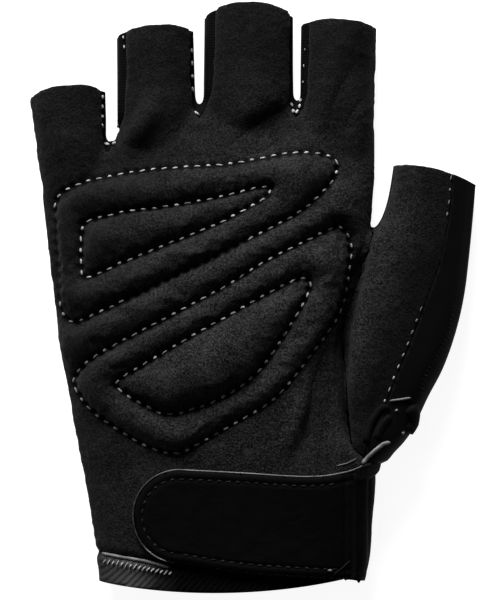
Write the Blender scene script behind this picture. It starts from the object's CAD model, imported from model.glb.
"""Half-finger glove for the right hand, lying on its back with the palm up."""
import math
import bmesh
import bpy
import numpy as np
from mathutils import Matrix, Vector, noise
from mathutils.bvhtree import BVHTree
from mathutils.kdtree import KDTree


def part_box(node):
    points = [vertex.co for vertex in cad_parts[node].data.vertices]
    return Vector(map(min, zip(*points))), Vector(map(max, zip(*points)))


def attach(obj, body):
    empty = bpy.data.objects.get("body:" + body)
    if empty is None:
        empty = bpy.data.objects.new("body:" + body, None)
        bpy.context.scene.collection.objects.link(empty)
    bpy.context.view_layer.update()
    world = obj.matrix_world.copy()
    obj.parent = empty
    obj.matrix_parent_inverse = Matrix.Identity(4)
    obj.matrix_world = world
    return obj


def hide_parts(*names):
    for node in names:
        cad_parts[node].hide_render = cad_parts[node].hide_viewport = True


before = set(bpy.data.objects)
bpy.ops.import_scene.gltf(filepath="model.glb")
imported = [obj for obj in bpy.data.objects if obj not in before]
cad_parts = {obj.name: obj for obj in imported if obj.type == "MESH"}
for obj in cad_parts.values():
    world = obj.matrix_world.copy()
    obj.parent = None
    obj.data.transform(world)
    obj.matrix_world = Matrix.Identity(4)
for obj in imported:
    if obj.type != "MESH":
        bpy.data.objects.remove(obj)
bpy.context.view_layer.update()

# Sizes

MM = 0.001
KNUCKLE_WIDTH = 97.0
PALM_LENGTH = 138.0
FINGER_LENGTH = 30.0
THUMB_LENGTH = 19.0
THUMB_LEAN = math.radians(8)
SEAM_HEIGHT = 8.0
PALM_CROWN = 15.0
FINGER_CROWN = 10.0
THUMB_CROWN = 12.5
BAND_WIDTH = 8.5
STRAP_WIDTH = 27.4
STRAP_LENGTH = 60.0
STRAP_THICKNESS = 2.0
STRAP_CUT_WIDTH = 33.0
STRAP_ROOT = 2.5
STRIP_HALF_HEIGHT = 4.5
CLEARANCE = 0.3
CLOTH = 1.2
FLOOR_GAP = 0.2
FAR = 1e9
FINGER_FULLNESS = 3
OVERRUN = 6.0
ROUND_OFF = 0.4
SETTLE_FRAMES = 20
MEMBRANE_ROUNDS = 300
CREASE_SPAN = (0.27, 0.36, 0.66, 0.75)
ARCH_POWER = 2.35
BACK_POWER = 4.5
BELLY_SHARE = 1.06
STITCH_PITCH = 3.2
PAD_RISE = 4.7
RIDGE_RISE = 4.5
SOFT_RISE = 0.5
PAD_REACH = 3.6
HOLD = 0.7
SLACK = 0.03
PRESSURE = 200
SETTLE_CAP = 0.6
GRID = 1.0
CREASE_DEPTH = 2.4
THUMB_FALL = 4.0

# Camera and lights, in metres and watts: name, place, size and power of each light
CAMERA_PLACE = (-0.0034, -0.0009, 1.2)
VIEW_DEPTH = 0.012
VIEW_HEIGHT = 0.174
SENSOR = 24
LIGHTS = [
    ("key", (-0.20, 0.84, 0.42), (0.55, 0.40), 25), ("fill", (-0.3, 0.3, 0.9), (0.5, 0.5), 0.4),
]

# Sections of the palm: left, right, left y, right y, bow, crown
PALM = [
    (-0.317, 0.452, 0.018, 0.030, -0.026, 0.80),
    (-0.324, 0.466, 0.080, 0.085, -0.018, 0.79),
    (-0.335, 0.470, 0.145, 0.145, -0.008, 0.79),
    (-0.359, 0.480, 0.240, 0.235, 0.000, 0.82),
    (-0.392, 0.470, 0.357, 0.345, 0.000, 0.92),
    (-0.422, 0.455, 0.483, 0.460, 0.000, 0.99),
    (-0.444, 0.462, 0.595, 0.600, 0.005, 1.00),
    (-0.462, 0.486, 0.690, 0.750, 0.030, 0.95),
    (-0.476, 0.499, 0.765, 0.870, 0.070, 0.80),
    (-0.486, 0.500, 0.823, 0.955, 0.118, 0.42),
]

# Finger stalls: root left and right, neck left and right, tip left and right, neck y,
# tip y left and right, rise of the hem, crown
FINGERS = [
    (-0.458, -0.270, -0.501, -0.301, -0.525, -0.305, 0.910, 0.57, 0.63, 0.09, 0.86),
    (-0.255, -0.040, -0.264, -0.033, -0.266, -0.041, 0.970, 0.88, 0.94, 0.08, 0.97),
    (-0.010, 0.240, -0.006, 0.257, -0.003, 0.258, 1.000, 0.93, 0.94, 0.14, 1.00),
    (0.275, 0.485, 0.284, 0.499, 0.287, 0.509, 1.000, 0.86, 0.83, 0.07, 0.97),
]
ROOT_BACK = 0.20
ROOT_CROWN = 0.45

# Sections of the thumb: left, left y, right, right y, share of the free length, crown
THUMB = [
    (0.335, 0.190, 0.455, 0.205, 0.0, 0.55),
    (0.326, 0.262, 0.538, 0.272, 0.0, 0.80),
    (0.335, 0.336, 0.606, 0.325, 0.0, 0.95),
    (0.356, 0.425, 0.661, 0.405, 0.0, 1.00),
    (0.384, 0.505, 0.706, 0.465, 0.0, 1.00),
    (0.414, 0.580, 0.744, 0.540, 0.0, 0.98),
    (0.470, 0.730, 0.771, 0.622, 0.0, 0.95),
    (0.522, 0.766, 0.786, 0.710, 0.0, 0.90),
    (0.538, 0.751, 0.784, 0.728, 0.5, 0.87),
    (0.542, 0.756, 0.777, 0.716, 1.0, 0.84),
]
THUMB_HEM_BOW = 0.012

# Seams seen from the front, x and y as shares of the knuckle width and the palm length
THUMB_CREASE = [
    (0.522, 0.860), (0.503, 0.778), (0.494, 0.746), (0.460, 0.683), (0.435, 0.609), (0.410, 0.536),
    (0.406, 0.431), (0.416, 0.357), (0.436, 0.300), (0.490, 0.268), (0.580, 0.255),
]
THUMB_SEAM = [
    (0.745, 0.930), (0.739, 0.870), (0.733, 0.818), (0.724, 0.771), (0.700, 0.687), (0.646, 0.584),
    (0.604, 0.507), (0.568, 0.446), (0.540, 0.395), (0.505, 0.345), (0.478, 0.300), (0.470, 0.240),
]
NOTCH_SEAMS = [
    [(-0.309, 1.20), (-0.311, 1.00), (-0.308, 0.956), (-0.296, 0.924), (-0.272, 0.950), (-0.247, 1.000),
     (-0.242, 1.10), (-0.242, 1.30)],
    [(-0.046, 1.30), (-0.045, 1.08), (-0.039, 1.019), (-0.021, 0.990), (-0.006, 1.010), (0.014, 1.045),
     (0.022, 1.15), (0.024, 1.35)],
    [(0.252, 1.35), (0.252, 1.08), (0.253, 1.025), (0.268, 0.994), (0.286, 1.015), (0.298, 1.045),
     (0.302, 1.12), (0.303, 1.35)],
]

# Stitched loops of the two pads: outline x and y, inner line x and y
UPPER_PAD = [
    (-0.430, 0.590, -0.362, 0.656), (-0.438, 0.652, -0.370, 0.676), (-0.446, 0.725, -0.372, 0.705),
    (-0.452, 0.790, -0.371, 0.742), (-0.438, 0.828, -0.365, 0.764), (-0.374, 0.853, -0.341, 0.777),
    (-0.254, 0.872, -0.242, 0.793), (-0.126, 0.883, -0.138, 0.803), (0.048, 0.891, -0.003, 0.818),
    (0.158, 0.904, 0.096, 0.833), (0.233, 0.914, 0.150, 0.843), (0.305, 0.917, 0.178, 0.846),
    (0.374, 0.908, 0.190, 0.845), (0.392, 0.888, 0.192, 0.838), (0.369, 0.853, 0.187, 0.829),
    (0.296, 0.803, 0.166, 0.817), (0.200, 0.763, 0.125, 0.801), (0.042, 0.706, 0.025, 0.765),
    (-0.138, 0.643, -0.123, 0.723), (-0.311, 0.586, -0.263, 0.683), (-0.392, 0.563, -0.330, 0.661),
]
LOWER_PAD = [
    (-0.392, 0.431, -0.266, 0.429), (-0.378, 0.462, -0.256, 0.444), (-0.325, 0.493, -0.222, 0.459),
    (-0.236, 0.528, -0.167, 0.482), (-0.066, 0.591, -0.084, 0.517), (0.060, 0.639, 0.012, 0.555),
    (0.164, 0.685, 0.117, 0.597), (0.257, 0.719, 0.206, 0.631), (0.346, 0.750, 0.263, 0.651),
    (0.398, 0.762, 0.293, 0.654), (0.431, 0.729, 0.311, 0.646), (0.425, 0.672, 0.308, 0.631),
    (0.410, 0.614, 0.290, 0.604), (0.383, 0.565, 0.260, 0.567), (0.302, 0.488, 0.212, 0.515),
    (0.209, 0.408, 0.155, 0.460), (0.087, 0.353, 0.072, 0.415), (-0.015, 0.313, -0.003, 0.391),
    (-0.087, 0.290, -0.084, 0.373), (-0.170, 0.303, -0.129, 0.373), (-0.272, 0.345, -0.179, 0.389),
    (-0.348, 0.384, -0.221, 0.405),
]

# Folds of the suede: start x and y, end x and y, half width and height in millimetres
FOLDS = [
    (-0.150, 1.022, -0.240, 0.912, 3.4, 3.0), (0.262, 0.998, 0.090, 0.916, 4.5, -2.6),
    (0.470, 1.130, 0.380, 0.935, 4.6, -2.0), (0.206, 1.055, 0.087, 0.977, 5.0, 1.0),
    (0.375, 0.520, 0.285, 0.300, 2.4, -2.2), (0.325, 0.430, 0.235, 0.290, 3.0, 1.3),
    (0.375, 0.470, 0.345, 0.310, 2.6, -1.2), (0.500, 0.640, 0.470, 0.420, 5.0, 0.7),
]

# Free edges of the strap: share of its length from the round end's centre, reach up and down as shares
# of its width
STRAP = [
    (0.00, 0.500, 0.500), (0.30, 0.466, 0.600), (0.62, 0.424, 0.652), (0.80, 0.470, 0.676),
    (0.92, 0.560, 0.715), (1.15, 0.600, 0.740),
]
STRAP_END = (-0.078, 0.158)
STRAP_EDGE_FROM = 26
STRAP_SEAM = 2.9

# Upright folds where the strap is sewn in: x, half width and height in millimetres
STRAP_FOLDS = [
    (0.414, 0.7, -0.3), (0.432, 1.0, 0.2), (0.450, 0.7, -0.3), (0.475, 1.2, 0.2), (0.487, 0.5, -0.3),
]

# Rows of light threads at the notches: line, pitch, length and width of a stitch in millimetres
NOTCH_THREADS = [
    ([(-0.312, 1.046), (-0.313, 0.992), (-0.311, 0.962), (-0.306, 0.944)], 3.0, 1.4, 0.8),
    ([(-0.303, 0.937), (-0.285, 0.933), (-0.266, 0.938)], 1.3, 1.7, 1.0),
    ([(-0.263, 0.950), (-0.261, 0.985)], 3.2, 1.3, 0.7),
    ([(-0.247, 1.170), (-0.241, 1.130)], 3.4, 1.1, 0.6),
    ([(-0.046, 1.147), (-0.043, 1.065), (-0.042, 1.023), (-0.034, 1.004), (-0.015, 0.990)], 3.9, 1.5, 0.9),
    ([(0.245, 1.038), (0.256, 1.018), (0.264, 0.998)], 2.0, 1.5, 0.9),
    ([(0.266, 0.998), (0.278, 1.013), (0.286, 1.034)], 2.0, 1.5, 0.9),
    ([(0.298, 1.152), (0.291, 1.050)], 5.4, 0.8, 0.4),
]
UPPER_HIDDEN = [(-0.245, 0.130, 0.560, 0.760), (-0.470, -0.425, 0.620, 0.800)]
THUMB_HIDDEN = [(0.640, 0.722, 0.560, 0.770), (0.400, 0.600, 0.000, 0.395)]

# Light trims: overcast stitches, bartacks with their radius, single stitches and piping
CUFF_OVERCAST = [(-0.308, 0.061), (-0.257, 0.057), (-0.182, 0.048), (-0.099, 0.038)]
BARTACKS = [
    ([(0.544, 0.398), (0.577, 0.401), (0.613, 0.405)], 0.34), ([(0.359, 0.044), (0.377, 0.044)], 0.4),
]
DOTS = [(0.567, 0.378), (0.586, 0.331)]
CUFF_PIPING = [(-0.314, 0.078), (-0.257, 0.071), (-0.182, 0.063), (-0.102, 0.050)]
BOUND_EDGE = [(0.460, 0.265), (0.478, 0.279), (0.502, 0.296), (0.526, 0.309), (0.550, 0.313)]
STRAP_FRAY = [(0.386, 0.262), (0.420, 0.268), (0.451, 0.279)]
STRAP_CREASE = [(0.431, 0.065), (0.404, 0.049), (0.377, 0.034)]
OVERLOCK = [
    (0.741, 0.600), (0.735, 0.578), (0.721, 0.536), (0.688, 0.490), (0.658, 0.458),
    (0.643, 0.429), (0.640, 0.401),
]

# Folds of the binding at the foot of the thumb: line, radius and lift in millimetres
THUMB_FOLDS = [
    ([(0.544, 0.393), (0.514, 0.376), (0.493, 0.355), (0.481, 0.332), (0.475, 0.307)], 1.3, -0.5),
    ([(0.556, 0.370), (0.529, 0.353), (0.514, 0.334), (0.508, 0.315)], 1.1, -0.3),
    ([(0.606, 0.391), (0.622, 0.370), (0.619, 0.349), (0.598, 0.328)], 2.6, -1.0),
]


# Tables

def rows_between(rows, steps):
    """The table's rows with smooth rows in between."""
    rows = np.array(rows, float)
    out = []
    for i in range(len(rows) - 1):
        a, b, c, d = rows[max(i - 1, 0)], rows[i], rows[i + 1], rows[min(i + 2, len(rows) - 1)]
        for t in np.arange(steps) / steps:
            out.append(b + 0.5 * t * (c - a + t * (2 * a - 5 * b + 4 * c - d + t * (3 * (b - c) + d - a))))
    return np.array(out + [rows[-1]])


def closed_between(rows, steps):
    """The same round a closed table."""
    rows = list(rows)
    fine = rows_between([rows[-1]] + rows + rows[:2], steps)
    return fine[steps:steps + len(rows) * steps]


SHARE = np.array([KNUCKLE_WIDTH, PALM_LENGTH])
HEM_TOP = (FINGERS[2][6] * PALM_LENGTH
           + ((FINGERS[2][7] + FINGERS[2][8]) / 2 + FINGERS[2][9]) * FINGER_LENGTH)
ORIGIN = np.array([
    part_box("palm_panel")[0].x / MM - FINGERS[0][4] * KNUCKLE_WIDTH,
    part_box("palm_panel")[1].y / MM - HEM_TOP,
])


def placed(points):
    """Points given as shares, in millimetres of the shared frame."""
    return np.array(points, float) * SHARE + ORIGIN


def palm_rows():
    left, right, left_y, right_y, bow, crown = np.array(PALM).T
    return np.array([
        left * KNUCKLE_WIDTH, right * KNUCKLE_WIDTH, left_y * PALM_LENGTH, right_y * PALM_LENGTH,
        bow * PALM_LENGTH, crown * PALM_CROWN,
    ]).T


def finger_rows(finger):
    root_l, root_r, neck_l, neck_r, tip_l, tip_r, neck_y, tip_y_l, tip_y_r, rise, crown = finger
    neck = neck_y * PALM_LENGTH
    root = neck - ROOT_BACK * PALM_LENGTH
    full = crown * FINGER_CROWN
    hem_l, hem_r = neck + tip_y_l * FINGER_LENGTH, neck + tip_y_r * FINGER_LENGTH
    bow = rise * FINGER_LENGTH
    half_l, half_r = (neck_l + tip_l) / 2, (neck_r + tip_r) / 2
    width = KNUCKLE_WIDTH
    return np.array([
        (root_l * width, root_r * width, root, root, 0, full * ROOT_CROWN),
        (neck_l * width, neck_r * width, neck, neck, 0, full),
        (half_l * width, half_r * width, (neck + hem_l) / 2, (neck + hem_r) / 2, bow / 2, full),
        (tip_l * width, tip_r * width, hem_l, hem_r, bow, full),
    ])


def thumb_rows():
    left, left_y, right, right_y, out, crown = np.array(THUMB).T
    dx, dy = out * THUMB_LENGTH * math.sin(THUMB_LEAN), out * THUMB_LENGTH * math.cos(THUMB_LEAN)
    return np.array([
        left * KNUCKLE_WIDTH + dx, right * KNUCKLE_WIDTH + dx,
        left_y * PALM_LENGTH + dy, right_y * PALM_LENGTH + dy,
        out * THUMB_HEM_BOW * PALM_LENGTH, crown * THUMB_CROWN,
    ]).T


def section(row, sides, grow=0.0):
    """Ring of points of one section, from the thumb side over the front, in millimetres."""
    left, right, left_y, right_y, bow, crown = row
    theta = np.arange(sides) * 2 * math.pi / sides
    c, s = np.cos(theta), np.sin(theta)
    power = np.where(s >= 0, ARCH_POWER, BACK_POWER)
    across = np.sign(c) * np.abs(c) ** (2 / power)
    up = np.abs(s) ** (2 / power)
    span = math.hypot(right - left, right_y - left_y)
    share = (1 + across * (1 + 2 * grow / span)) / 2
    inner = (1 + across) / 2
    height = np.where(s >= 0, crown + grow, -(SEAM_HEIGHT * BELLY_SHARE + grow))
    return np.column_stack([
        left + (right - left) * share + ORIGIN[0],
        left_y + (right_y - left_y) * share + bow * 4 * inner * (1 - inner) + ORIGIN[1],
        SEAM_HEIGHT + up * height,
    ])


# Curves and fields

def curve_steps(curve, closed):
    ends = np.roll(curve, -1, axis=0) if closed else curve[1:]
    starts = curve if closed else curve[:-1]
    return starts, ends


def nearest(points, curve, closed=False):
    """Distance from each point to a curve, and the length along the curve where that is."""
    starts, ends = curve_steps(curve, closed)
    best = np.full(len(points), FAR)
    along = np.zeros(len(points))
    run = 0.0
    for a, b in zip(starts, ends):
        step = b - a
        size = np.hypot(*step)
        t = np.clip(((points - a) @ step) / max(size * size, 1e-9), 0, 1)
        gap = np.hypot(*(points - a - t[:, None] * step).T)
        closer = gap < best
        best = np.where(closer, gap, best)
        along = np.where(closer, run + t * size, along)
        run += size
    return best, along


def inside(points, loop):
    """Which points a closed loop holds."""
    x, y = points.T
    odd = np.zeros(len(points), bool)
    for (ax, ay), (bx, by) in zip(loop, np.roll(loop, -1, axis=0)):
        if ay == by:
            continue
        crosses = (ay > y) != (by > y)
        odd ^= crosses & (x < ax + (y - ay) / (by - ay) * (bx - ax))
    return odd


def signed(points, loop):
    """Distance to a closed loop, negative inside it."""
    gap, _ = nearest(points, loop, closed=True)
    return np.where(inside(points, loop), -gap, gap)


def up_share(p):
    """Height along the palm as a share of its length."""
    return (p[:, 1] - ORIGIN[1]) / PALM_LENGTH


def ease(low, high, values):
    """From 0 at low to 1 at high, smoothly."""
    t = np.clip((values - low) / (high - low), 0, 1)
    return t * t * (3 - 2 * t)


def x_at(table, y):
    """x of a seam at height y, both in millimetres."""
    points = placed(table)[::-1]
    return np.interp(y, points[:, 1], points[:, 0])


def edge_y(row, x, fullness=2):
    """Height at x of one section seen from the front, in millimetres."""
    left, right, left_y, right_y, bow, _ = row
    share = np.clip((x - ORIGIN[0] - left) / (right - left), 0, 1)
    return left_y + (right_y - left_y) * share + bow * (1 - np.abs(2 * share - 1) ** fullness) + ORIGIN[1]


def hem_y(x):
    """Height of the open ends of the stalls at x, in millimetres."""
    y = np.zeros(len(x))
    for i, finger in enumerate(FINGERS):
        start = -FAR if i == 0 else ORIGIN[0] + (FINGERS[i - 1][5] + finger[4]) / 2 * KNUCKLE_WIDTH
        y = np.where(x >= start, edge_y(finger_rows(finger)[-1], x, FINGER_FULLNESS), y)
    thumb = thumb_rows()[-1]
    gap = ORIGIN[0] + (FINGERS[3][5] * KNUCKLE_WIDTH + thumb[0]) / 2
    return np.where(x > gap, edge_y(thumb, x), y)


def cuff_y(x):
    """Height of the cuff's lower edge at x, in millimetres."""
    return edge_y(palm_rows()[0], x)


# Meshes

def coordinates(mesh_or_bm):
    verts = mesh_or_bm.verts if isinstance(mesh_or_bm, bmesh.types.BMesh) else mesh_or_bm.vertices
    return np.array([v.co[:] for v in verts]) / MM


def piece_from(name, bm):
    mesh = bpy.data.meshes.new(name)
    bm.to_mesh(mesh)
    bm.free()
    piece = bpy.data.objects.new(name, mesh)
    bpy.context.scene.collection.objects.link(piece)
    return piece


def applied(piece):
    """The piece with its modifiers made part of its mesh."""
    bpy.context.view_layer.update()
    shown = piece.evaluated_get(bpy.context.evaluated_depsgraph_get())
    mesh = bpy.data.meshes.new_from_object(shown)
    piece.modifiers.clear()
    old = piece.data
    piece.data = mesh
    bpy.data.meshes.remove(old)
    return piece


def add_tube(bm, rings):
    """Closed tube through rings of points."""
    before = []
    for ring in rings:
        made = bmesh.ops.create_circle(bm, cap_ends=False, radius=1, segments=len(ring))["verts"]
        for vert, place in zip(made, ring):
            vert.co = Vector(place) * MM
        edges = list({edge for vert in made for edge in vert.link_edges})
        if before:
            bmesh.ops.bridge_loops(bm, edges=before + edges)
        else:
            bmesh.ops.contextual_create(bm, geom=edges)
        before = edges
    bmesh.ops.contextual_create(bm, geom=before)


def cut_along(bm, values):
    """Cuts the mesh where the values of its vertices pass zero, and gives the values of all vertices."""
    bm.verts.ensure_lookup_table()
    value = {vert: float(v) for vert, v in zip(bm.verts, values)}
    on = set()
    for edge in list(bm.edges):
        a, b = edge.verts
        va, vb = value[a], value[b]
        if va * vb >= 0:
            continue
        share = va / (va - vb)
        if share < 0.12 or share > 0.88:
            near = a if share < 0.12 else b
            far = b if near is a else a
            near.co = near.co.lerp(far.co, share if near is a else 1 - share)
            value[near] = 0.0
            on.add(near)
            continue
        _, new = bmesh.utils.edge_split(edge, a, share)
        value[new] = 0.0
        on.add(new)
    bmesh.ops.connect_verts(bm, verts=list(on))
    return value


def side_of(face, value):
    """Which side of a cut a face is on."""
    return sum(value[vert] for vert in face.verts)


def drop(bm, value, sign):
    """Removes the faces on one side of a cut."""
    gone = [face for face in bm.faces if side_of(face, value) * sign > 0]
    bmesh.ops.delete(bm, geom=gone, context="FACES")


def glove_form():
    """The whole outer form of the glove as one smooth skin, open at its hems."""
    bm = bmesh.new()
    sides = 64
    palm = rows_between(palm_rows(), 3)
    start, end = palm[0].copy(), palm[-1].copy()
    start[2:4] -= OVERRUN
    end[2:4] += 2.2
    end[5] *= 0.35
    add_tube(bm, [section(row, sides, ROUND_OFF) for row in [start, *palm, end]])
    for finger in FINGERS:
        rows = rows_between(finger_rows(finger), 4)
        tip = rows[-1].copy()
        tip[2:4] += OVERRUN
        add_tube(bm, [section(row, sides) for row in [*rows, tip]])
    rows = rows_between(thumb_rows(), 3)
    tip = rows[-1].copy()
    tip[0:2] += OVERRUN * math.sin(THUMB_LEAN)
    tip[2:4] += OVERRUN * math.cos(THUMB_LEAN)
    add_tube(bm, [section(row, sides, ROUND_OFF) for row in [*rows, tip]])
    bmesh.ops.triangulate(bm, faces=[face for face in bm.faces if len(face.verts) > 4])
    bmesh.ops.recalc_face_normals(bm, faces=bm.faces)
    form = piece_from("glove_form", bm)
    remesh = form.modifiers.new("one skin", "REMESH")
    remesh.mode = "VOXEL"
    remesh.voxel_size = GRID * MM
    smooth = form.modifiers.new("rounded", "SMOOTH")
    smooth.factor = 0.5
    smooth.iterations = 8
    return applied(form)


# Panels

PANELS = [
    "palm_suede", "thumb_suede", "thumb_side_stretch", "back_knit", "strip_little_ring",
    "strip_ring_middle", "strip_middle_index", "cuff_stretch",
]


def panel_of(points):
    """Number of the panel at each point."""
    x, y, z = points.T
    front = z > SEAM_HEIGHT
    beyond = x > x_at(THUMB_CREASE, y)
    number = np.where(front, 0, 3)
    number = np.where(beyond & front, 1, number)
    number = np.where(beyond & (~front | (x > x_at(THUMB_SEAM, y))), 2, number)
    for i, seam in enumerate(NOTCH_SEAMS):
        within = inside(points[:, :2], placed(seam)) & (z > SEAM_HEIGHT - STRIP_HALF_HEIGHT)
        number = np.where(within, 4 + i, number)
    return np.where(y < cuff_y(x) + BAND_WIDTH, 7, number)


def panel_cuts():
    """Fields that are zero along the seams."""
    yield lambda p: p[:, 2] - SEAM_HEIGHT
    yield lambda p: p[:, 0] - x_at(THUMB_CREASE, p[:, 1])
    yield lambda p: p[:, 0] - x_at(THUMB_SEAM, p[:, 1])
    for seam in NOTCH_SEAMS:
        yield lambda p, seam=seam: signed(p[:, :2], placed(seam))
    yield lambda p: p[:, 2] - SEAM_HEIGHT + STRIP_HALF_HEIGHT
    yield lambda p: p[:, 1] - cuff_y(p[:, 0]) - BAND_WIDTH


def skin_panels(form):
    """Cuts the skin into its panels, drawn in a little along the seams, as {name: bmesh}."""
    bm = bmesh.new()
    bm.from_mesh(form.data)
    bpy.data.objects.remove(form)
    p = coordinates(bm)
    drop(bm, cut_along(bm, p[:, 1] - hem_y(p[:, 0])), 1)
    p = coordinates(bm)
    drop(bm, cut_along(bm, p[:, 1] - cuff_y(p[:, 0])), -1)
    for field in panel_cuts():
        cut_along(bm, field(coordinates(bm)))
    bmesh.ops.dissolve_degenerate(bm, dist=0.02 * MM, edges=bm.edges)
    bm.faces.ensure_lookup_table()
    bm.verts.ensure_lookup_table()
    bm.verts.index_update()
    bm.normal_update()
    centres = np.array([face.calc_center_median()[:] for face in bm.faces]) / MM
    number = panel_of(centres)
    for face, own in zip(bm.faces, number):
        face.material_index = int(own)
    draw_in_seams(bm)
    for vert in bm.verts:
        vert.co.z = max(vert.co.z, 0.0)
    panels = {}
    for i, name in enumerate(PANELS):
        part = bm.copy()
        others = [face for face in part.faces if face.material_index != i]
        bmesh.ops.delete(part, geom=others, context="FACES")
        for face in part.faces:
            face.material_index = 0
        panels[name] = part
    bm.free()
    return panels


def seam_verts(bm):
    return [vert for vert in bm.verts if len({face.material_index for face in vert.link_faces}) > 1]


def crease_span(share):
    """Where along the palm the fold at the root of the thumb is open, fading at both ends."""
    start, full, fade, end = CREASE_SPAN
    return ease(start, full, share) * (1 - ease(fade, end, share))


def draw_in_seams(bm, depth=0.55, reach=0.9, swell=0.25):
    """Draws the skin in along its seams, and deeper along the fold at the root of the thumb."""
    seams = np.array([vert.co[:] for vert in seam_verts(bm)]) / MM
    tree = KDTree(len(seams))
    for i, place in enumerate(seams):
        tree.insert(place, i)
    tree.balance()
    p = coordinates(bm)
    fold_gap, _ = nearest(p[:, :2], placed(THUMB_CREASE))
    share = up_share(p)
    fold = crease_span(share) * (p[:, 2] > SEAM_HEIGHT + 2)
    fold *= -CREASE_DEPTH * np.exp(-((fold_gap / 1.9) ** 2))
    slope_gap, _ = nearest(p[:, :2], placed(THUMB_SEAM))
    fall = -THUMB_FALL * np.exp(-((slope_gap / 11.0) ** 2)) * ease(8, 15, p[:, 2]) * ease(0.22, 0.40, share)
    moves = []
    for vert, drop_in, down in zip(bm.verts, fold, fall):
        vert.co.z += float(down) * MM
        gap = tree.find(vert.co / MM)[2]
        move = float(drop_in)
        if gap < 6 * reach:
            move -= depth * math.exp(-(gap / reach) ** 2) - swell * math.exp(-((gap - 2.6) / 1.5) ** 2)
        moves.append((vert, vert.normal * move * MM))
    for vert, move in moves:
        vert.co += move


def walled(piece, thickness):
    """Gives a skin its thickness inwards, its lining and edges with materials of their own."""
    wall = piece.modifiers.new("thickness", "SOLIDIFY")
    wall.thickness = thickness * MM
    wall.offset = -1
    wall.material_offset = 1
    wall.material_offset_rim = 2
    return wall


# Relief of the palm

UPPER_OUT = closed_between([row[:2] for row in UPPER_PAD], 4)
UPPER_IN = closed_between([row[2:] for row in UPPER_PAD], 4)
LOWER_OUT = closed_between([row[:2] for row in LOWER_PAD], 4)
LOWER_IN = closed_between([row[2:] for row in LOWER_PAD], 4)


def quilting(p):
    """At each point: distance to the nearest sewn line, how near a hole it is, whether it is padded."""
    flat = p[:, :2]
    loops = [placed(loop) for loop in (UPPER_OUT, UPPER_IN, LOWER_OUT, LOWER_IN)]
    lines = [nearest(flat, loop, closed=True) for loop in loops]
    gap = np.min([line[0] for line in lines], axis=0)
    which = np.argmin([line[0] for line in lines], axis=0)
    pitches = [even_pitch(loop, STITCH_PITCH, closed=True) for loop in loops]
    phase = [np.cos(2 * math.pi * line[1] / pitch) for line, pitch in zip(lines, pitches)]
    hole = np.choose(which, phase)
    upper, lower = (inside(flat, loops[i]) for i in (0, 2))
    between = ~upper & ~lower & (lines[0][0] + lines[2][0] < 15)
    return gap, hole, upper | lower, between


def palm_relief(p):
    """Height of the sewn lines, their puckers and the folds above the puffed palm."""
    gap, hole, _, _ = quilting(p)
    groove = -0.45 * np.exp(-((gap / 0.8) ** 2))
    pucker = -0.28 * hole * np.exp(-((gap / 1.0) ** 2))
    mark = np.exp(-((gap / 0.75) ** 2)) * (0.5 + 0.5 * hole)
    return groove + pucker + folds(p[:, :2]), np.maximum(mark, crease_mark(p))


def crease_mark(p):
    """How near a point is to the fold at the root of the thumb, where little light and no rubbing comes."""
    gap, _ = nearest(p[:, :2], placed(THUMB_CREASE))
    share = up_share(p)
    return 0.8 * np.exp(-((gap / 1.0) ** 2)) * crease_span(share)


def thumb_mark(p):
    """The same for the thumb, whose suede also stays darker where it turns down to its seam."""
    gap, _ = nearest(p[:, :2], placed(THUMB_SEAM))
    share = up_share(p)
    turned = 0.78 * np.exp(-((gap / 11.0) ** 2)) * (1 - 0.75 * ease(0.66, 0.86, share))
    return np.maximum(crease_mark(p), turned)


def membrane(bm, target, held):
    """Height of a skin that wants to rise to the target but is held down at some of its vertices."""
    ends = np.array([[vert.index for vert in edge.verts] for edge in bm.edges])
    count = len(bm.verts)
    near = np.bincount(ends.ravel(), minlength=count)
    height = np.zeros(count)
    pull = (GRID / PAD_REACH) ** 2 / 4
    for _ in range(MEMBRANE_ROUNDS):
        total = np.bincount(ends[:, 0], height[ends[:, 1]], count)
        total += np.bincount(ends[:, 1], height[ends[:, 0]], count)
        height = (total / near + pull * target) / (1 + pull)
        height[held] = 0
    return height


def puffed(piece):
    """Where the palm's skin goes as its padding fills it, held along the sewn lines and the seams."""
    start = coordinates(piece.data)
    gap, _, padded, between = quilting(start)
    bm = bmesh.new()
    bm.from_mesh(piece.data)
    bm.verts.index_update()
    edge = np.array([vert.is_boundary for vert in bm.verts])
    normals = np.array([vert.normal[:] for vert in bm.verts])
    target = np.where(between, RIDGE_RISE, np.where(padded, PAD_RISE, SOFT_RISE))
    height = membrane(bm, target, (gap < 0.6) | edge)
    bm.free()
    filled = start + normals * height[:, None]
    for vert, place in zip(piece.data.vertices, filled * MM):
        vert.co = place
    settled = settle(piece, np.where((gap < 0.7) | edge, 1.0, np.where(padded | between, 0.0, HOLD)))
    move = settled - filled
    size = np.sqrt((move ** 2).sum(axis=1))
    return filled + move * np.minimum(1, SETTLE_CAP / np.maximum(size, 1e-6))[:, None]


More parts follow.
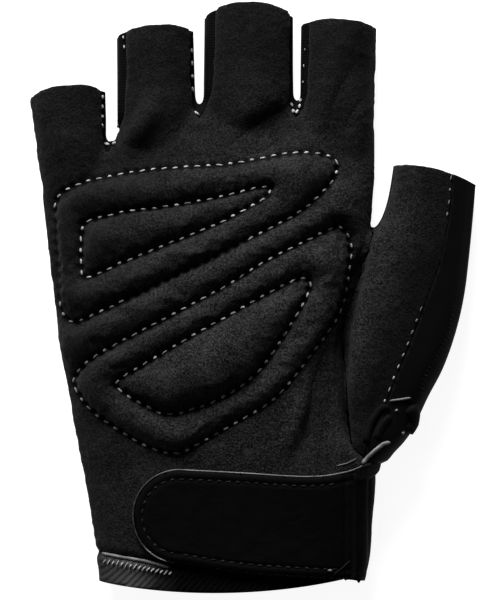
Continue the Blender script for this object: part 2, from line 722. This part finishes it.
def settle(piece, hold):
    """Runs the padded skin as cloth under a little pressure and gives where its vertices come to rest."""
    group = piece.vertex_groups.new(name="held")
    for level in np.unique(hold[hold > 0]):
        group.add([int(i) for i in np.nonzero(hold == level)[0]], float(level), "REPLACE")
    cloth = piece.modifiers.new("padding", "CLOTH")
    cloth.settings.quality = 4
    cloth.settings.mass = 0.05
    cloth.settings.tension_stiffness = 15
    cloth.settings.compression_stiffness = 15
    cloth.settings.shear_stiffness = 5
    cloth.settings.bending_stiffness = 1
    cloth.settings.vertex_group_mass = "held"
    cloth.settings.shrink_min = -SLACK
    cloth.settings.use_pressure = True
    cloth.settings.uniform_pressure_force = PRESSURE
    cloth.settings.effector_weights.gravity = 0
    cloth.collision_settings.use_collision = False
    cloth.point_cache.frame_start = 1
    cloth.point_cache.frame_end = SETTLE_FRAMES
    for step in range(1, SETTLE_FRAMES + 1):
        bpy.context.scene.frame_set(step)
    shown = piece.evaluated_get(bpy.context.evaluated_depsgraph_get())
    settled = coordinates(shown.data)
    piece.modifiers.clear()
    piece.vertex_groups.clear()
    bpy.context.scene.frame_set(1)
    return settled


def folds(flat):
    total = np.zeros(len(flat))
    for ax, ay, bx, by, width, height in FOLDS:
        line = placed([(ax, ay), (bx, by)])
        gap, along = nearest(flat, line)
        size = np.hypot(*(line[1] - line[0]))
        reach = np.sin(math.pi * np.clip((along + 0.05 * size) / (1.10 * size), 0, 1)) ** 0.7
        total += height * np.exp(-((gap / width) ** 2)) * reach
    return total


def noise_at(p, scale, seed, rough=3):
    offset = Vector((seed * 7.3, seed * 3.1, seed * 5.7))
    return np.array([noise.fractal(Vector(q) / scale + offset, 0.6, 2.1, rough) for q in p])


def fine_outer(bm):
    """Halves the outer faces and rounds them."""
    outer = [face for face in bm.faces if face.material_index == 0]
    edges = list({edge for face in outer for edge in face.edges})
    bmesh.ops.subdivide_edges(bm, edges=edges, cuts=1, use_grid_fill=True)
    outer = [face for face in bm.faces if face.material_index == 0]
    inner = {vert for face in bm.faces if face.material_index != 0 for vert in face.verts}
    free = list({vert for face in outer for vert in face.verts} - inner)
    for _ in range(3):
        bmesh.ops.smooth_vert(bm, verts=free, factor=0.5, use_axis_x=True, use_axis_y=True, use_axis_z=True)
    return list({vert for face in outer for vert in face.verts})


def raise_relief(piece, relief, wrinkles):
    """Works the relief into the outer face of a walled piece."""
    bm = bmesh.new()
    bm.from_mesh(piece.data)
    sewn = bm.verts.layers.float.new("sewn")
    outer = fine_outer(bm)
    bm.normal_update()
    p = np.array([vert.co[:] for vert in outer]) / MM
    facing = np.array([vert.normal.z for vert in outer])
    height, mark = relief(p)
    height = height * ease(-0.1, 0.35, facing)
    height += wrinkles * noise_at(p, 9.0, 3) + 0.35 * wrinkles * noise_at(p, 2.6, 5)
    for vert, rise, dark in zip(outer, height, mark):
        vert.co += vert.normal * float(rise) * MM
        vert[sewn] = float(dark)
    bm.to_mesh(piece.data)
    bm.free()
    return piece


# Strap

def strap_outline():
    radius = STRAP_WIDTH / 2
    centre = placed([STRAP_END])[0]
    rows = rows_between(STRAP, 5)
    x = centre[0] + rows[:, 0] * STRAP_LENGTH
    upper = np.column_stack([x, centre[1] + rows[:, 1] * STRAP_WIDTH])
    lower = np.column_stack([x, centre[1] - rows[:, 2] * STRAP_WIDTH])
    turn = np.radians(np.arange(95, 266, 5))
    end = centre + radius * np.column_stack([np.cos(turn), np.sin(turn)])
    return np.vstack([lower, upper[::-1], end])


def strap_sheet():
    """The strap as a piece of the wrist's own form, lifted off the palm."""
    bm = bmesh.new()
    before = []
    rows = palm_rows()[:6]
    below = rows[0] - (rows[1] - rows[0]) * 0.8
    for row in rows_between([below, *rows], 16):
        ring = section(row, 220, ROUND_OFF + CLEARANCE + STRAP_THICKNESS)
        made = bmesh.ops.create_circle(bm, cap_ends=False, radius=1, segments=len(ring))["verts"]
        for vert, place in zip(made, ring):
            vert.co = Vector(place) * MM
        edges = list({edge for vert in made for edge in vert.link_edges})
        if before:
            bmesh.ops.bridge_loops(bm, edges=before + edges)
        before = edges
    bmesh.ops.recalc_face_normals(bm, faces=bm.faces)
    p = coordinates(bm)
    drop(bm, cut_along(bm, STRAP_ROOT - p[:, 2]), 1)
    p = coordinates(bm)
    drop(bm, cut_along(bm, signed(p[:, :2], strap_outline())), 1)
    return bm


def strap_relief(p):
    """Pressed edge, sewn row and folds of the strap."""
    inset = -signed(p[:, :2], strap_outline())
    edge = -0.8 * np.exp(-((np.maximum(inset, 0) / 0.9) ** 1.5))
    row = -0.28 * np.exp(-(((inset - STRAP_SEAM) / 0.55) ** 2))
    total = edge + row
    for x, width, height in STRAP_FOLDS:
        across = p[:, 0] - (ORIGIN[0] + x * KNUCKLE_WIDTH)
        total += height * np.exp(-((across / width) ** 2))
    return total, np.zeros(len(p))


# Threads and trims

def even_pitch(curve, pitch, closed=False):
    """The pitch nearest to the wanted one that divides a curve evenly."""
    starts, ends = curve_steps(curve, closed)
    total = np.hypot(*(ends - starts).T).sum()
    return total / max(int(round(total / pitch)), 1)


def resampled(curve, pitch, closed=False):
    """Points at an even pitch along a curve, and the directions there."""
    starts, ends = curve_steps(curve, closed)
    sizes = np.hypot(*(ends - starts).T)
    total = sizes.sum()
    count = max(int(round(total / pitch)), 1)
    marks = (np.arange(count) + 0.5) * total / count
    run = np.concatenate([[0], np.cumsum(sizes)])
    whole = np.vstack([starts, ends[-1:]])
    points = np.column_stack([np.interp(marks, run, whole[:, k]) for k in (0, 1)])
    ahead = np.column_stack([np.interp(marks + 0.3, run, whole[:, k]) for k in (0, 1)])
    behind = np.column_stack([np.interp(marks - 0.3, run, whole[:, k]) for k in (0, 1)])
    steps = ahead - behind
    return points, steps / np.maximum(np.hypot(*steps.T), 1e-6)[:, None]


def beside(curve, distance):
    """The curve moved to its left by a distance."""
    steps = np.gradient(curve, axis=0)
    steps /= np.hypot(*steps.T)[:, None]
    return curve + distance * np.column_stack([-steps[:, 1], steps[:, 0]])


def skin_tree(pieces):
    """What the threads are laid on."""
    verts, faces = [], []
    for piece in pieces:
        base = len(verts)
        verts += [vert.co.copy() for vert in piece.data.vertices]
        faces += [[base + v for v in poly.vertices] for poly in piece.data.polygons]
    return BVHTree.FromPolygons(verts, faces)


def touch(tree, x, y):
    """Where a line from straight above meets the skin, in metres, and the normal there."""
    place, normal, _, _ = tree.ray_cast(Vector((x, y, 80.0)) * MM, Vector((0, 0, -1)))
    return place, normal


def bead():
    """Short rounded thread of unit size along x, for copies."""
    bm = bmesh.new()
    lying = Matrix.Rotation(math.pi / 2, 4, "Y")
    bmesh.ops.create_uvsphere(bm, u_segments=8, v_segments=5, radius=1, matrix=lying)
    mesh = bpy.data.meshes.new("bead")
    bm.to_mesh(mesh)
    bm.free()
    return mesh


BEAD = bead()


def lay_thread(bm, tree, point, step, length, width, lift):
    """One stitch as a short rounded thread on the skin."""
    ends = [touch(tree, *(point + side * step * length * 0.35)) for side in (-1, 1)]
    if ends[0][0] is None or ends[1][0] is None:
        return
    middle = (ends[0][0] + ends[1][0]) / 2
    normal = (ends[0][1] + ends[1][1]).normalized()
    along = (ends[1][0] - ends[0][0])
    if along.length > 1.2 * length * MM or normal.z < 0.05:
        return
    along.normalize()
    across = normal.cross(along).normalized()
    up = along.cross(across)
    turn = Matrix((along, across, up)).transposed().to_4x4()
    scale = Matrix.Diagonal((length * 0.5 * MM, width * 0.5 * MM, width * 0.42 * MM, 1))
    place = Matrix.Translation(middle + up * lift * MM) @ turn @ scale
    BEAD.transform(place)
    bm.from_mesh(BEAD)
    BEAD.transform(place.inverted())


def sew(bm, tree, curve, closed=False, pitch=STITCH_PITCH, length=1.6, width=0.68, lift=0.36, slant=0.0,
        hidden=()):
    """A row of stitches; slant is how far they turn across the row, and hidden the places without them."""
    points, steps = resampled(curve, pitch, closed)
    for i, (point, step) in enumerate(zip(points, steps)):
        x, y = (point - ORIGIN) / SHARE
        if any(x0 < x < x1 and y0 < y < y1 for x0, x1, y0, y1 in hidden):
            continue
        angle = slant + 0.16 * math.sin(i * 12.9898)
        way = math.cos(angle) * step + math.sin(angle) * np.array([-step[1], step[0]])
        size = 1 + 0.22 * math.sin(i * 78.233)
        lay_thread(bm, tree, point, way, length * size, width * (2 - size), lift)


def cord_along(bm, path, radius, sides=8):
    """Round cord through points given in metres."""
    path = [Vector(place) for place in path]
    before = []
    for i, place in enumerate(path):
        step = path[min(i + 1, len(path) - 1)] - path[max(i - 1, 0)]
        turn = step.to_track_quat("Z", "Y").to_matrix().to_4x4()
        end = 0.4 if i in (0, len(path) - 1) else 1.0
        ring = bmesh.ops.create_circle(bm, cap_ends=False, radius=radius * end * MM, segments=sides,
                                       matrix=Matrix.Translation(place) @ turn)["verts"]
        edges = list({edge for vert in ring for edge in vert.link_edges})
        if before:
            bmesh.ops.bridge_loops(bm, edges=before + edges)
        else:
            bmesh.ops.contextual_create(bm, geom=edges)
        before = edges
    bmesh.ops.contextual_create(bm, geom=before)


def on_skin(tree, curve, pitch, lift):
    """A path on the skin over a curve."""
    points, _ = resampled(curve, pitch)
    met = [touch(tree, *point) for point in points]
    return [place + normal * lift * MM for place, normal in met if place is not None]


def finished(name, bm, *materials):
    """A new piece of the glove from a bmesh, smooth all over."""
    bmesh.ops.recalc_face_normals(bm, faces=bm.faces)
    piece = piece_from(name, bm)
    dressed(piece, *materials)
    return piece


def dressed(piece, *materials):
    piece.data.materials.clear()
    for material in materials:
        piece.data.materials.append(material)
    piece.data.polygons.foreach_set("use_smooth", [True] * len(piece.data.polygons))
    piece.data.update()
    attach(piece, "root")


# Finishes

class Value:
    """A shader value; Python's operators on it make Math nodes."""

    def __init__(self, finish, socket):
        self.finish = finish
        self.socket = socket

    def maths(self, operation, first, second=0.0):
        return self.finish.node("ShaderNodeMath", {"operation": operation}, {0: first, 1: second})

    def __add__(self, other):
        return self.maths("ADD", self, other)

    def __radd__(self, other):
        return self.maths("ADD", other, self)

    def __sub__(self, other):
        return self.maths("SUBTRACT", self, other)

    def __rsub__(self, other):
        return self.maths("SUBTRACT", other, self)

    def __mul__(self, other):
        return self.maths("MULTIPLY", self, other)

    def __rmul__(self, other):
        return self.maths("MULTIPLY", other, self)

    def __truediv__(self, other):
        return self.maths("DIVIDE", self, other)

    def __rtruediv__(self, other):
        return self.maths("DIVIDE", other, self)

    def __pow__(self, other):
        return self.maths("POWER", self, other)

    def __abs__(self):
        return self.maths("ABSOLUTE", self)

    def sine(self):
        return self.maths("SINE", self)

    def most(self, other):
        return self.maths("MAXIMUM", self, other)


class Finish:
    """A material built from nodes."""

    def __init__(self, name):
        self.material = bpy.data.materials.new(name)
        self.material.use_nodes = True
        self.tree = self.material.node_tree
        self.tree.nodes.clear()
        self.place = self.node("ShaderNodeTexCoord", output="Object")

    def node(self, kind, settings=None, inputs=None, output=0):
        made = self.tree.nodes.new(kind)
        for key, value in (settings or {}).items():
            setattr(made, key, value)
        for key, value in (inputs or {}).items():
            if isinstance(value, Value):
                self.tree.links.new(value.socket, made.inputs[key])
            else:
                made.inputs[key].default_value = value
        return Value(self, made.outputs[output])

    def noise(self, size, detail=3.0, rough=0.5, stretch=None):
        """Noise with features of about this size in millimetres, from 0 to 1."""
        place = self.place
        if stretch:
            place = self.node("ShaderNodeMapping", {}, {"Vector": place, "Scale": stretch})
        inputs = {"Vector": place, "Scale": 1 / (size * MM), "Detail": detail, "Roughness": rough}
        return self.node("ShaderNodeTexNoise", {}, inputs)

    def axes(self):
        """x, y and z in millimetres."""
        parts = [self.node("ShaderNodeSeparateXYZ", {}, {"Vector": self.place}, output=i) for i in range(3)]
        return [part * (1 / MM) for part in parts]

    def ramp(self, value, low, high):
        inputs = {"Value": value, "From Min": low, "From Max": high}
        return self.node("ShaderNodeMapRange", {"interpolation_type": "SMOOTHSTEP"}, inputs)

    def mix(self, mask, first, second):
        return self.node("ShaderNodeMix", {"data_type": "RGBA"}, {0: mask, 6: first, 7: second}, output=2)

    def bump(self, height, distance, strength=1.0):
        inputs = {"Height": height, "Distance": distance * MM, "Strength": strength}
        return self.node("ShaderNodeBump", {}, inputs)

    def surface(self, colour, rough, normal, **fixed):
        inputs = {"Base Color": colour, "Roughness": rough, "Normal": normal}
        inputs.update({key.replace("_", " "): value for key, value in fixed.items()})
        shader = self.node("ShaderNodeBsdfPrincipled", {}, inputs)
        self.node_out(shader)
        return self.material

    def node_out(self, shader):
        out = self.tree.nodes.new("ShaderNodeOutputMaterial")
        self.tree.links.new(shader.socket, out.inputs["Surface"])


def grey(level, warm=0.0):
    return (level * (1 + warm), level, level * (1 - warm), 1)


def suede():
    """Charcoal suede: short nap lying this way and that, handled lighter in places, dark where it is sewn."""
    f = Finish("suede")
    nap = f.noise(0.6, 2, 0.9)
    brushed = f.noise(9, 3, 0.6)
    fibres = f.noise(0.28, 2, 0.7)
    x, y, _ = f.axes()
    east, north = (x - 14.0) * (1 / 58), (y + 25.0) * (1 / 72)
    handled = (1.0 - f.ramp(east * east + north * north, 0.0, 1.8)) * (1.0 - 0.5 * f.ramp(x, 42.0, 60.0))
    light = f.ramp(nap * 0.6 + fibres * 0.25 + brushed * 0.15, 0.41, 0.62) * (0.32 + 0.70 * handled)
    sewn = f.node("ShaderNodeAttribute", {"attribute_name": "sewn"}, output="Fac")
    colour = f.mix(light, grey(0.0018, 0.01), grey(0.044, 0.01))
    colour = f.mix(sewn, colour, grey(0.0005))
    height = nap * 0.7 + fibres * 0.3
    return f.surface(colour, 0.82 + 0.12 * nap, f.bump(height, 0.5), Sheen_Weight=0.06,
                     Sheen_Roughness=0.4, Sheen_Tint=grey(0.5), Specular_IOR_Level=0.12)


def knit():
    """Fine black knit in little columns of loops."""
    f = Finish("knit")
    x, y, _ = f.axes()
    column = abs((x * (math.pi / 1.1)).sine())
    loop = abs((y * (math.pi / 0.8) + column * 1.2).sine())
    weave = column * 0.6 + loop * 0.4
    patch = f.noise(14, 3)
    colour = f.mix(weave * 0.8 + patch * 0.2, grey(0.0008), grey(0.005))
    return f.surface(colour, 0.8 + 0.15 * patch, f.bump(weave, 0.25), Specular_IOR_Level=0.06)


def stretch():
    """Smooth black stretch cloth with a fine twill."""
    f = Finish("stretch")
    x, y, z = f.axes()
    twill = abs(((x + y + z) * (math.pi / 0.55)).sine())
    patch = f.noise(7, 3)
    colour = f.mix(twill * 0.4 + patch * 0.6, grey(0.001), grey(0.005))
    return f.surface(colour, 0.6 + 0.18 * patch, f.bump(twill, 0.08), Specular_IOR_Level=0.08)


def satin():
    """Shiny woven binding of the cuff, slanting ribs catching the light at the little finger's side."""
    f = Finish("satin")
    x, y, z = f.axes()
    ribs = abs(((x * 0.8 - y * 0.7 - z * 0.3) * (math.pi / 1.5)).sine())
    weave = f.noise(0.5, 3, 0.7)
    lit = f.ramp(abs(x + 36.0) * -1.0 + f.noise(5, 3) * 9.0, -10.0, 4.0)
    colour = f.mix(lit * (ribs * 0.5 + weave * 0.7), grey(0.0015), grey(0.09))
    height = ribs * 0.5 + weave * 0.5
    return f.surface(colour, 0.6 + 0.2 * weave, f.bump(height, 0.25), Specular_IOR_Level=0.05)


def strap_cloth():
    """Smooth synthetic leather with a fine grain, a little scuffed."""
    f = Finish("strap_cloth")
    grain = f.noise(0.5, 4, 0.6)
    scuff = f.ramp(f.noise(6, 5, 0.7), 0.55, 0.8)
    colour = f.mix(scuff * 0.4 + grain * 0.5, grey(0.0008), grey(0.005))
    return f.surface(colour, 0.6 + 0.2 * grain + 0.1 * scuff, f.bump(grain, 0.12), Specular_IOR_Level=0.06)


def thread(name, low, high, shine=0.3):
    """Twisted thread from one grey to another."""
    f = Finish(name)
    x, y, z = f.axes()
    twist = abs(((x + y * 0.8 + z * 0.6) * (math.pi / 0.28)).sine())
    dust = f.noise(2.5, 3)
    colour = f.mix((twist * 0.5 + f.ramp(dust, 0.3, 0.7) * 0.5) * (1.0 - 0.7 * f.ramp(x, 42.0, 47.0)),
                   grey(low), grey(high))
    return f.surface(colour, 0.6 + 0.2 * dust, f.bump(twist, 0.06), Sheen_Weight=0.6 * shine,
                     Specular_IOR_Level=shine)


def worn_cord():
    """Fine cord rubbed light where the strap's upper edge and the cuff are touched most."""
    f = Finish("worn_cord")
    x, y, z = f.axes()
    twist = abs(((x + y * 0.8 + z * 0.6) * (math.pi / 0.4)).sine())
    rubbed = f.ramp(x, -33.0, -20.0).most(f.ramp(y * -1.0, 71.5, 73.5)) * f.noise(3, 3)
    colour = f.mix(rubbed * (0.6 + 0.4 * twist), grey(0.030), grey(0.34))
    return f.surface(colour, 0.65 + 0.2 * twist, f.bump(twist, 0.08), Sheen_Weight=0.1,
                     Specular_IOR_Level=0.2)


def lining():
    """Dark brushed lining."""
    f = Finish("lining")
    pile = f.noise(0.4, 3, 0.6)
    colour = f.mix(pile, grey(0.008), grey(0.03))
    return f.surface(colour, 0.85 + 0.1 * pile, f.bump(pile, 0.15), Sheen_Weight=0.15)


def cut_edge():
    """Cut edge of the cloth, its fibres a little lighter."""
    f = Finish("cut_edge")
    fray = f.noise(0.3, 4, 0.7)
    colour = f.mix(f.ramp(fray, 0.3, 0.7), grey(0.012), grey(0.07))
    return f.surface(colour, 0.8 + 0.1 * fray, f.bump(fray, 0.2), Sheen_Weight=0.2)


def paper():
    """Pale plain floor."""
    f = Finish("paper")
    grain = f.noise(3, 2)
    colour = f.mix(grain, grey(0.29), grey(0.31))
    return f.surface(colour, 0.9 + 0.05 * grain, f.bump(grain, 0.01), Specular_IOR_Level=0.1,
                     Emission_Color=grey(1.0), Emission_Strength=0.93)


# The glove

def light_area(name, place, size, power):
    """Rectangular light aimed at the glove."""
    data = bpy.data.lights.new(name, "AREA")
    data.shape = "RECTANGLE"
    data.size, data.size_y = size
    data.energy = power
    lamp = bpy.data.objects.new(name, data)
    lamp.location = place
    lamp.rotation_euler = (-Vector(place)).to_track_quat("-Z", "Y").to_euler()
    bpy.context.scene.collection.objects.link(lamp)


def make_floor(material):
    bm = bmesh.new()
    bmesh.ops.create_grid(bm, x_segments=8, y_segments=8, size=1.6)
    floor = piece_from("floor", bm)
    floor.data.materials.append(material)
    floor.location.z = -FLOOR_GAP * MM


def make_camera():
    """Camera straight above the palm."""
    data = bpy.data.cameras.new("camera")
    camera = bpy.data.objects.new("camera", data)
    bpy.context.scene.collection.objects.link(camera)
    data.sensor_fit = "VERTICAL"
    data.sensor_height = SENSOR
    data.lens = SENSOR * (CAMERA_PLACE[2] - VIEW_DEPTH) / VIEW_HEIGHT
    data.clip_end = 20
    camera.location = CAMERA_PLACE
    bpy.context.scene.camera = camera


def make_panels(look):
    """The cloth panels of the glove as finished pieces."""
    pieces = {}
    for name, bm in skin_panels(glove_form()).items():
        piece = piece_from(name, bm)
        full = puffed(piece) if name == "palm_suede" else None
        walled(piece, CLOTH)
        applied(piece)
        if full is not None:
            for vert, place in zip(piece.data.vertices, full * MM):
                vert.co = place
            raise_relief(piece, palm_relief, 0.25)
        elif name == "thumb_suede":
            raise_relief(piece, lambda p: (folds(p[:, :2]), thumb_mark(p)), 0.25)
        dressed(piece, look[name], look["lining"], look["edge"])
        pieces[name] = piece
    return pieces


def make_strap(look):
    bm = strap_sheet()
    area = sum(face.calc_area() for face in bm.faces)
    strap = piece_from("closing_strap", bm)
    walled(strap, 1.5)
    applied(strap)
    raise_relief(strap, strap_relief, 0.12)
    dressed(strap, look["strap"], look["strap"], look["strap"])
    cut = (STRAP_CUT_WIDTH * MM, area / (STRAP_CUT_WIDTH * MM))
    return strap


def make_threads(tree, look):
    """Light grey threads of the quilted lines, the notches and the thumb seam."""
    bm = bmesh.new()
    for loop, hidden in zip((UPPER_OUT, UPPER_IN, LOWER_OUT, LOWER_IN), (UPPER_HIDDEN, [], [], [])):
        sew(bm, tree, placed(loop), closed=True, hidden=hidden)
    for line, pitch, length, width in NOTCH_THREADS:
        sew(bm, tree, placed(line), pitch=pitch, length=length, width=width)
    seam = beside(placed(THUMB_SEAM[::-1]), 0.9)
    sew(bm, tree, seam, pitch=3.6, length=1.3, width=0.5, hidden=THUMB_HIDDEN)
    sew(bm, tree, placed(CUFF_OVERCAST), pitch=1.3, length=1.7, width=0.5, slant=1.1)
    return finished("threads", bm, look["thread"])


def make_dark_threads(tree, look):
    """Black threads: the strap's inner rows and the overlocked edge of the thumb."""
    bm = bmesh.new()
    outline = strap_outline()
    inner = beside(outline, STRAP_SEAM)
    sew(bm, tree, inner, pitch=2.7, length=1.5, width=0.55, lift=0.1, hidden=[(0.40, 0.60, -0.1, 0.40)])
    cord_along(bm, on_skin(tree, placed(STRAP_CREASE), 0.6, 0.1), 0.14)
    sew(bm, tree, placed(OVERLOCK), pitch=1.3, length=1.6, width=0.45, slant=1.2)
    return finished("dark_threads", bm, look["dark_thread"])


def make_piping(tree, look):
    """Light cords along the strap's edge, the cuff and the bound edge beside the thumb."""
    bm = bmesh.new()
    edge = beside(strap_outline(), 0.25)
    edge = edge[STRAP_EDGE_FROM:]
    cord_along(bm, on_skin(tree, edge, 0.9, 0.0), 0.23)
    cord_along(bm, on_skin(tree, placed(STRAP_FRAY), 0.6, 0.1), 0.14)
    cord_along(bm, on_skin(tree, placed(CUFF_PIPING), 0.9, 0.2), 0.5)
    cord_along(bm, on_skin(tree, placed(BOUND_EDGE), 0.7, 0.45), 0.56)
    for line, radius in BARTACKS:
        cord_along(bm, on_skin(tree, placed(line), 0.6, 0.25), radius)
    for x, y in DOTS:
        lay_thread(bm, tree, placed([(x, y)])[0], np.array([0.8, 0.6]), 1.0, 0.9, 0.3)
    return finished("piping", bm, look["piping"])


def make_thumb_folds(tree, look):
    """Soft folded binding and the loop at the foot of the thumb seam."""
    bm = bmesh.new()
    for line, radius, lift in THUMB_FOLDS:
        cord_along(bm, on_skin(tree, placed(line), 0.8, lift), radius, sides=14)
    return finished("thumb_folds", bm, look["thumb_side_stretch"])


look = {
    "palm_suede": suede(), "back_knit": knit(), "thumb_side_stretch": stretch(), "strap": strap_cloth(),
    "thread": thread("thread", 0.07, 0.46), "dark_thread": thread("dark_thread", 0.003, 0.035, shine=0.04),
    "piping": worn_cord(), "lining": lining(), "edge": cut_edge(), "floor": paper(),
}
look["thumb_suede"] = look["palm_suede"]
look["cuff_stretch"] = satin()
for name in PANELS[4:7]:
    look[name] = look["back_knit"]

panels = make_panels(look)
strap = make_strap(look)
tree = skin_tree([*panels.values(), strap])
threads = make_threads(tree, look)
dark_threads = make_dark_threads(tree, look)
piping = make_piping(tree, look)
thumb_folds = make_thumb_folds(tree, look)

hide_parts("palm_panel", "upper_pad_rim", "upper_pad_core", "lower_pad_rim",
            "lower_pad_core")
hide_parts("thumb_panel")
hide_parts("thumb_side_panel")
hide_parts("back_panel")
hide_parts("fourchette_little_ring")
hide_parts("fourchette_ring_middle")
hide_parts("fourchette_middle_index")
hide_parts("cuff_band")
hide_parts("wrist_strap")

make_floor(look["floor"])
make_camera()
world = bpy.data.worlds.new("studio")
bpy.context.scene.world = world
world.use_nodes = True
world.node_tree.nodes["Background"].inputs["Color"].default_value = (1, 1, 1, 1)
world.node_tree.nodes["Background"].inputs["Strength"].default_value = 0.08
for light in LIGHTS:
    light_area(*light)
bpy.context.scene.view_settings.view_transform = "Standard"
bpy.context.scene.view_settings.gamma = 0.85
